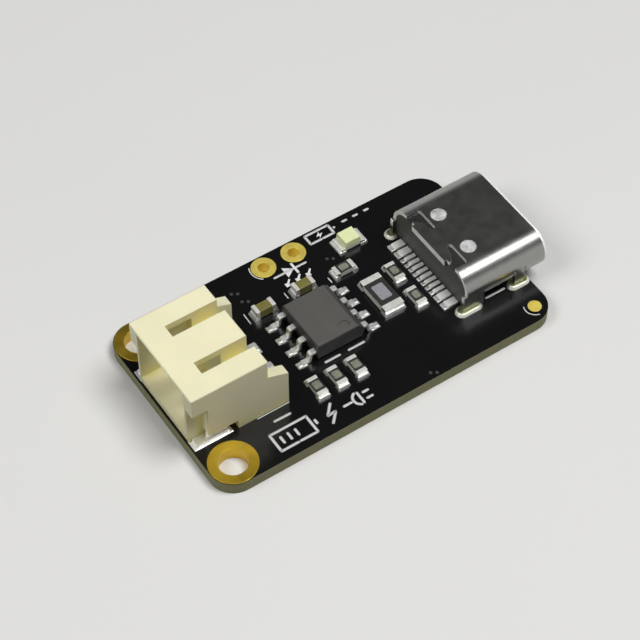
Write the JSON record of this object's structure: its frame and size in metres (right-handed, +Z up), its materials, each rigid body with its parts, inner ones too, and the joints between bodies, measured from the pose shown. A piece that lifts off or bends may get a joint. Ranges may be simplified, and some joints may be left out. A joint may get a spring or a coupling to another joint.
{
  "type": "lithium battery charger module",
  "caption": "Small black circuit board that charges a single lithium cell, with a USB-C socket over one end, an ivory battery header at the other and a charger chip between them.",
  "frame": {"origin": "centre of the circuit board's underside", "axes": "+X along the board towards the mouth of the USB-C socket, +Y towards the long edge with the two indicator pin holes, +Z up out of the side that carries the parts"},
  "size_m": [0.0291, 0.0158, 0.0065],
  "materials": {
    "solder_mask": "black solder mask over woven glass laminate",
    "gold_plating": "gold flash on copper",
    "header_nylon": "ivory moulded nylon, satin",
    "tinned_contact": "tin plate, satin",
    "solder": "reflowed solder, bright",
    "shell_steel": "nickel-plated stainless steel, bright",
    "connector_black": "black moulded plastic",
    "contact_gold": "gold-plated copper alloy",
    "chip_epoxy": "dark moulding compound, matt",
    "capacitor_ceramic": "olive brown ceramic",
    "end_cap_tin": "tinned end caps, satin",
    "resistor_ceramic": "white alumina",
    "resistor_glaze": "dark glaze",
    "led_base": "white laminate",
    "legend_ink": "white printed ink on the board",
    "led_lens": "clear epoxy with a pale yellow-green die"
  },
  "bodies": {
    "root": {"battery_capacitor_body": "capacitor_ceramic", "battery_capacitor_ends": "end_cap_tin", "battery_contact_negative": "tinned_contact", "battery_contact_positive": "tinned_contact", "battery_header_housing": "header_nylon", "battery_header_solder": "solder", "capacitor_solder": "solder", "charger_chip_body": "chip_epoxy", "charger_chip_leads": "tinned_contact", "charger_chip_solder": "solder", "circuit_board": "solder_mask", "fiducial_pad": "gold_plating", "header_hold_down_left": "tinned_contact", "header_hold_down_right": "tinned_contact", "input_capacitor_body": "capacitor_ceramic", "input_capacitor_ends": "end_cap_tin", "input_resistor_coat": "resistor_glaze", "input_resistor_core": "resistor_ceramic", "input_resistor_terminals": "end_cap_tin", "led_base": "led_base", "led_lens": "led_lens", "led_pin_hole_plating": "gold_plating", "led_resistor_coat": "resistor_glaze", "led_resistor_core": "resistor_ceramic", "led_resistor_terminals": "end_cap_tin", "led_solder": "solder", "led_terminals": "end_cap_tin", "mounting_hole_plating": "gold_plating", "resistor_solder": "solder", "row_resistor_1_coat": "resistor_glaze", "row_resistor_1_core": "resistor_ceramic", "row_resistor_1_terminals": "end_cap_tin", "row_resistor_2_coat": "resistor_glaze", "row_resistor_2_core": "resistor_ceramic", "row_resistor_2_terminals": "end_cap_tin", "row_resistor_3_coat": "resistor_glaze", "row_resistor_3_core": "resistor_ceramic", "row_resistor_3_terminals": "end_cap_tin", "side_resistor_1_coat": "resistor_glaze", "side_resistor_1_core": "resistor_ceramic", "side_resistor_1_terminals": "end_cap_tin", "side_resistor_2_coat": "resistor_glaze", "side_resistor_2_core": "resistor_ceramic", "side_resistor_2_terminals": "end_cap_tin", "usb_insulator": "connector_black", "usb_lower_contacts": "contact_gold", "usb_mid_plate": "tinned_contact", "usb_power_contacts": "contact_gold", "usb_shell": "shell_steel", "usb_stake_solder": "solder", "usb_tail_solder": "solder", "usb_upper_contacts": "contact_gold"}
  },
  "joints": []
}
